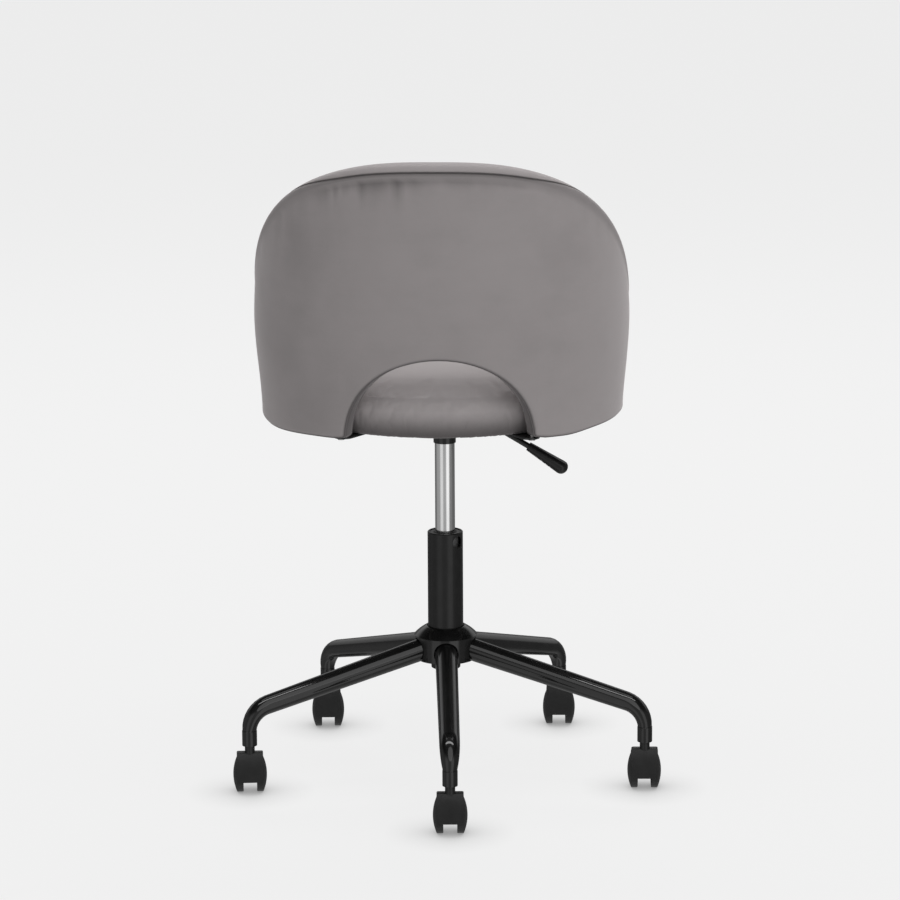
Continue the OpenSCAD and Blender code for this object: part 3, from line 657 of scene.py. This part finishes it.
def seam_painted_shade(s, below):
    """Painted shade just below the rim seam: uneven streaks, longest left of the middle
    seen from behind."""
    left = np.exp(-(((s + 0.105) / 0.085) ** 2))
    streaks = np.array([noise_at(x * 95, 0.4, 2.2) + 0.6 * noise_at(x * 34, 7.0, 5.1) for x in s])
    reach = 0.0055 + left * np.clip(0.006 + 0.016 * streaks, 0, 0.022)
    return np.exp(-((below / reach) ** 1.3)) * np.clip(0.75 + 0.35 * streaks + 0.25 * left, 0.3, 1.15)


def seam_fade(s):
    """How far the rim seam's groove and its painted shade have faded into the velvet, towards the shoulders.
    """
    return 0.8 * smooth_step((np.abs(s) - 0.10) / 0.14)


def left_painted_shade(s):
    """Painted shade on the left of the back, seen from behind, which reads a little darker."""
    return 0.13 * smooth_step((-s - 0.10) / 0.14)


def add_seam_lip(skin, shell, lip):
    """Rings of a panel where it comes up out of the rim seam, with painted shade in the seam; lip is (back,
    sink, painted light value) for each.
    """
    fade = seam_fade(shell.top[:, 0])
    for back, sink, painted_light in lip:
        skin.add(shell.on_roll(shell.seam_turn, back, sink * (1 - fade)), painted_light + (0.75 - painted_light) * fade)


def make_outer_panel(shell, material):
    """The velvet outside of the shell, from the rim seam down to the hem."""
    rows, wrap_rows, back_rows = 56, 8, 10
    skin = Skin(shell)
    scale = shell.scale[:, 0]
    seam = shell.seam_turn
    # painted shade in the rim seam, on its lip and over the roll beside it
    skin.add(shell.on_roll(seam, 0.0001, 0.0062), 0.0)
    add_seam_lip(skin, shell, [(0.0002, 0.0040, 0.1), (0.0007, 0.0020, 0.2), (0.0016, 0.0009, 0.3),
                               (0.0030, 0.0003, 0.45)])
    outside = 0.050 * math.pi
    for k in range(1, wrap_rows + 1):  # over the roll, where the seam lies on top of it
        turn = seam + (outside - seam) * k / wrap_rows
        back = 0.0040 + 0.0014 * k / wrap_rows
        skin.add(shell.on_roll(turn, back, 0.0002), 0.55 + 0.2 * k / wrap_rows)
    upper, lower = shell.from_top(RIM_WIDTH + 0.009), shell.from_bottom(0.0044)
    shade = 0.62 * np.exp(-np.abs(np.degrees(seam - SEAM_TURN)) / 20)
    for k in range(rows + 1):
        t = k / rows
        t = 0.5 * t * (1 + t) + 0.5 * t * (1 - t) * 0.4  # closer together below the seam
        flat = upper * (1 - t) + lower * t
        puff = 0.0016 * math.sin(math.pi * t)
        below = t * np.linalg.norm(upper - lower, axis=1) + 0.004
        relief = np.array([seam_relief(s, z, b) for (s, z), b in zip(flat, below)])
        edge = min(1.0, t / 0.02, (1 - t) / 0.02)
        # painted shade below the seam and on the left, and painted light and shade following the dents
        painted_seam_shade = shade * seam_painted_shade(flat[:, 0], below)
        painted_light = 1.0 - painted_seam_shade + np.clip(relief * 120, -0.15, 0.08) - left_painted_shade(flat[:, 0])
        skin.add(Shell.place(flat, -(puff + relief * (0.3 + 0.7 * edge)) * scale), painted_light)
    # painted shade deepening as the velvet turns under
    for offset, depth, painted_light in (  # turned in at the hem
        (0.0034, 0.0001, 0.95),
        (0.0022, 0.0005, 0.8),
        (0.0012, 0.0014, 0.5),
        (0.0005, 0.0030, 0.1),
        (0.0003, 0.0076, 0.0),
    ):
        skin.add(Shell.place(shell.from_bottom(offset), depth * scale), painted_light)
    upper, lower = shell.from_top(RIM_WIDTH + 0.0012), shell.from_bottom(0.0012)
    for k in range(back_rows + 1):
        t = 1 - k / back_rows
        skin.add(Shell.place(upper * (1 - t) + lower * t, 0.0078 * scale), 0.0)
    return skin.build("shell_outer_panel", material)


def make_inner_pad(shell, material):
    """The padded inside of the shell, with the rolled rim."""
    rows, roll_steps, back_rows = 40, 26, 8
    skin = Skin(shell)
    scale = shell.scale[:, 0]
    seam = shell.seam_turn
    skin.add(Shell.place(shell.from_top(RIM_WIDTH + 0.0030), CORE_DEPTH * scale), 0)
    # painted shade in the rim seam and on its lip, lifting over the roll
    skin.add(shell.on_roll(seam, -0.0001, 0.0075), 0.0)
    add_seam_lip(skin, shell, [(-0.0002, 0.0038, 0.2), (-0.0007, 0.0017, 0.5), (-0.0016, 0.0006, 0.8)])
    start = seam + 0.035
    for k in range(roll_steps + 1):
        turn = start + (math.pi - start) * k / roll_steps
        skin.add(shell.on_roll(turn), min(1.15, 0.95 + 0.5 * k / roll_steps))
    upper, lower = shell.from_top(RIM_WIDTH * 1.25), shell.from_bottom(0.0046)
    for k in range(rows + 1):
        t = k / rows
        flat = upper * (1 - t) + lower * t
        crown = 0.006 * math.sin(math.pi * t) ** 0.7 * scale
        ripple = np.array([0.0012 * noise_at(s * 14, z * 14, 11.3) for s, z in flat])
        edge = min(1.0, t / 0.05, (1 - t) / 0.05)
        skin.add(Shell.place(flat, wall(flat[:, 1]) + crown + ripple * scale * edge), 1.0)
    under_t = wall(shell.bottom[:, 1])
    # painted shade deepening as the velvet turns under
    for offset, inset, painted_light in (  # turned in at the lower edge
        (0.0036, 0.0002, 0.9),
        (0.0022, 0.0008, 0.8),
        (0.0011, 0.0020, 0.6),
        (0.0004, 0.0040, 0.3),
        (0.0003, 0.0066, 0.0),
    ):
        skin.add(Shell.place(shell.from_bottom(offset), under_t - inset * scale), painted_light)
    upper, lower = shell.from_top(RIM_WIDTH + 0.0060), shell.from_bottom(0.0030)
    depth = np.minimum(CORE_DEPTH * scale, under_t * 0.6 + 0.004)
    for k in range(back_rows + 1):
        t = 1 - k / back_rows
        skin.add(Shell.place(upper * (1 - t) + lower * t, depth), 0.0)
    return skin.build("shell_inner_padding", material)


def make_edge_strip(shell, material):
    """The strip of velvet under the shell's lower edge and round the opening, darkened with painted shade,
    most at its edges.
    """
    skin = Skin(shell)
    inset = 0.0042 * shell.scale[:, 0]
    width = wall(shell.bottom[:, 1]) - 2 * inset
    crown = ((0.0, 0.0004, 0.1), (0.05, -0.0006, 0.5), (0.2, -0.0012, 0.9), (0.5, -0.0015, 1.0))
    mirrored = tuple((1 - share, offset, painted_light) for share, offset, painted_light in reversed(crown[:-1]))
    # painted shade: the strip is kept at a quarter of the velvet's light
    for share, offset, painted_light in crown + mirrored:
        skin.add(Shell.place(shell.from_bottom(offset), inset + width * share), painted_light * 0.25)
    for share in (1.0, 0.5, 0.0):
        skin.add(Shell.place(shell.from_bottom(0.0028), inset + width * share), 0.1)
    return skin.build("shell_edge_strip", material)


def make_shell(materials):
    shell = Shell()
    outer = make_outer_panel(shell, materials["velvet"])
    inner = make_inner_pad(shell, materials["velvet"])
    strip = make_edge_strip(shell, materials["velvet"])
    under_t = wall(shell.bottom[:, 1])
    scale = shell.scale[:, 0]
    edge = shell.from_bottom(0.0001)
    # cords in the dark velvet: painted shade along the rim seam and the lower edges
    cords = [
        tube_along(name, path, radius, materials["piping_painted_shade"])
        for name, path, radius in (
            ("rim_seam_cord", shell.on_roll(shell.seam_turn, 0, 0.0022), 0.0010),
            ("outer_edge_cord", Shell.place(edge, 0.0040 * scale), 0.0011),
            ("inner_edge_cord", Shell.place(edge, under_t - 0.0042 * scale), 0.0011),
        )
    ]
    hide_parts("shell_outer_pad")
    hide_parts("shell_inner_pad", "shell_frame")
    for piece in (outer, inner, strip, *cords):
        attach(piece, "seat")


# ---------- seat cushion ----------


CUSHION_R = 0.219
CUSHION_BOTTOM_Z = 0.5355
CUSHION_SEAM_Z = 0.5895
CUSHION_TOP_Z = 0.6035
SEAM_R = 0.2135
BOARD_R = 0.2122  # just outside the plywood board
VOXEL = 0.005  # grid of the remeshed cover
SEAM_BAND = 0.0045  # reach of the stitching that holds the cover
PRESSURE, CLOTH_FRAMES = 4.0, 20
MOST_MOVE = 0.006  # how far the cloth run may move a point


def make_cushion(materials):
    """A boxed round cushion: a crowned top panel sewn to a bulging side wall."""
    profile = [
        (0.0, CUSHION_BOTTOM_Z),
        (CUSHION_R - 0.005, CUSHION_BOTTOM_Z),
        (CUSHION_R - 0.0015, CUSHION_BOTTOM_Z + 0.003),
        (CUSHION_R, CUSHION_BOTTOM_Z + 0.014),
        (CUSHION_R + 0.0005, CUSHION_BOTTOM_Z + 0.028),
        (CUSHION_R - 0.0015, CUSHION_SEAM_Z - 0.012),
        (SEAM_R, CUSHION_SEAM_Z),
        (SEAM_R - 0.012, CUSHION_SEAM_Z + 0.0035),
        (SEAM_R - 0.060, CUSHION_SEAM_Z + 0.010),
        (SEAM_R - 0.130, CUSHION_TOP_Z - 0.0015),
        (0.0, CUSHION_TOP_Z),
    ]
    segments = 128
    points = [(SEAT_X, SEAT_Y, profile[0][1])]
    for r, z in profile[1:-1]:
        for k in range(segments):
            a = 2 * math.pi * k / segments
            points.append((SEAT_X + r * math.cos(a), SEAT_Y + r * math.sin(a), z))
    points.append((SEAT_X, SEAT_Y, profile[-1][1]))
    faces = []
    loops = len(profile) - 2
    for k in range(segments):
        n = (k + 1) % segments
        faces.append((0, 1 + n, 1 + k))
        for i in range(loops - 1):
            a, b = 1 + i * segments, 1 + (i + 1) * segments
            faces.append((a + k, a + n, b + n, b + k))
        top = 1 + (loops - 1) * segments
        faces.append((top + k, top + n, len(points) - 1))
    cushion = object_from("seat_cushion_cover", points, faces, materials["seat_velvet_painted_light"])
    remesh = cushion.modifiers.new("remesh", "REMESH")
    remesh.mode = "VOXEL"
    remesh.voxel_size = VOXEL
    apply_modifiers(cushion)
    inflate(cushion)
    subdivision = cushion.modifiers.new("smooth", "SUBSURF")
    subdivision.levels = subdivision.render_levels = 1
    apply_modifiers(cushion)
    sew_cushion(cushion)
    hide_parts("seat_cushion")
    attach(cushion, "seat")


def apply_modifiers(obj):
    """Bakes an object's modifiers into its mesh."""
    graph = bpy.context.evaluated_depsgraph_get()
    baked = bpy.data.meshes.new_from_object(obj.evaluated_get(graph), depsgraph=graph)
    obj.modifiers.clear()
    old = obj.data
    obj.data = baked
    bpy.data.meshes.remove(old)
    if "painted_light" not in baked.attributes:
        baked.attributes.new("painted_light", "FLOAT", "POINT")


def coordinates(mesh):
    co = np.zeros(len(mesh.vertices) * 3, np.float32)
    mesh.vertices.foreach_get("co", co)
    return co.reshape(-1, 3).astype(float)


def store(mesh, co):
    mesh.vertices.foreach_set("co", co.astype(np.float32).ravel())
    mesh.update()


def inflate(cushion):
    """Blows the cover up with a short cloth run, its seam and underside held, and limits how far it moves."""
    before = coordinates(cushion.data)
    r = np.hypot(before[:, 0] - SEAT_X, before[:, 1] - SEAT_Y)
    by_seam = (np.abs(r - SEAM_R) < SEAM_BAND) & (np.abs(before[:, 2] - CUSHION_SEAM_Z) < SEAM_BAND)
    held = (before[:, 2] < CUSHION_BOTTOM_Z + 0.008) | by_seam
    pins = cushion.vertex_groups.new(name="held")
    pins.add([int(i) for i in np.nonzero(held)[0]], 1.0, "REPLACE")
    cloth = cushion.modifiers.new("cloth", "CLOTH")
    settings = cloth.settings
    settings.quality = 6
    settings.mass = 0.3
    settings.use_pressure = True
    settings.uniform_pressure_force = PRESSURE
    settings.vertex_group_mass = "held"
    settings.effector_weights.gravity = 0
    settings.bending_stiffness = 0.6
    settings.shrink_min = -0.02
    cloth.collision_settings.use_collision = False
    cloth.point_cache.frame_start, cloth.point_cache.frame_end = 1, CLOTH_FRAMES
    scene = bpy.context.scene
    for number in range(1, CLOTH_FRAMES + 1):
        scene.frame_set(number)
    apply_modifiers(cushion)
    scene.frame_set(1)
    move = coordinates(cushion.data) - before
    length = np.linalg.norm(move, axis=1)[:, None]
    store(cushion.data, before + move * np.minimum(1, MOST_MOVE / np.maximum(length, 1e-9)))


def sew_cushion(cushion):
    """Pulls the seam in, adds small tucks beside it, drops the hem over the board's edge and paints shade:
    painted shade in the seam and low on the side, and painted light and shade on the tucks."""
    mesh = cushion.data
    co = coordinates(mesh)
    dx, dy = co[:, 0] - SEAT_X, co[:, 1] - SEAT_Y
    r = np.hypot(dx, dy)
    angle = np.arctan2(dy, dx)
    away = np.hypot(r - SEAM_R, co[:, 2] - CUSHION_SEAM_Z - 0.001)
    from_back = np.abs(np.arctan2(np.sin(angle - math.pi / 2), np.cos(angle - math.pi / 2)))
    strength = 0.1 + 0.9 * smooth_step((from_back - 0.25) / 0.5)  # the seam is faint at the back
    valley = strength * np.exp(-((away / 0.0075) ** 2))
    tuck = [noise_at(math.cos(a) * 16, math.sin(a) * 16, z * 30) for a, z in zip(angle, co[:, 2])]
    tucks = np.array(tuck) * np.exp(-away / 0.016)
    wide = np.array([noise_at(x * 12, y * 12, 4.4) for x, y in zip(dx, dy)])
    inward = 0.7 * (0.0042 * valley + 0.0016 * tucks)
    co[:, 0] -= inward * dx / np.maximum(r, 1e-6)
    co[:, 1] -= inward * dy / np.maximum(r, 1e-6)
    co[:, 2] -= inward + np.where(co[:, 2] > CUSHION_SEAM_Z, 0.0012 * wide, 0)
    hem = (r > BOARD_R) & (co[:, 2] < CUSHION_BOTTOM_Z + 0.006)
    turned = np.maximum(co[:, 2] - 0.0016, CUSHION_BOTTOM_Z - 0.0008)
    co[:, 2] = np.where(hem, turned, np.maximum(co[:, 2], CUSHION_BOTTOM_Z))
    store(mesh, co)
    side = smooth_step((co[:, 2] - CUSHION_BOTTOM_Z) / 0.045)
    # painted shade low on the side wall and in the seam valley, painted light and shade on the tucks
    painted_light = np.where(r > SEAM_R - 0.004, 0.10 + side, MAX_PAINTED_LIGHT) - 0.35 * valley + 0.1 * tucks
    mesh.attributes["painted_light"].data.foreach_set("value", np.clip(painted_light, 0, MAX_PAINTED_LIGHT).astype(np.float32))


# ---------- everything ----------

make_camera()
make_studio()
materials = make_materials()
finish_cad_nodes(materials)
make_shell(materials)
make_cushion(materials)
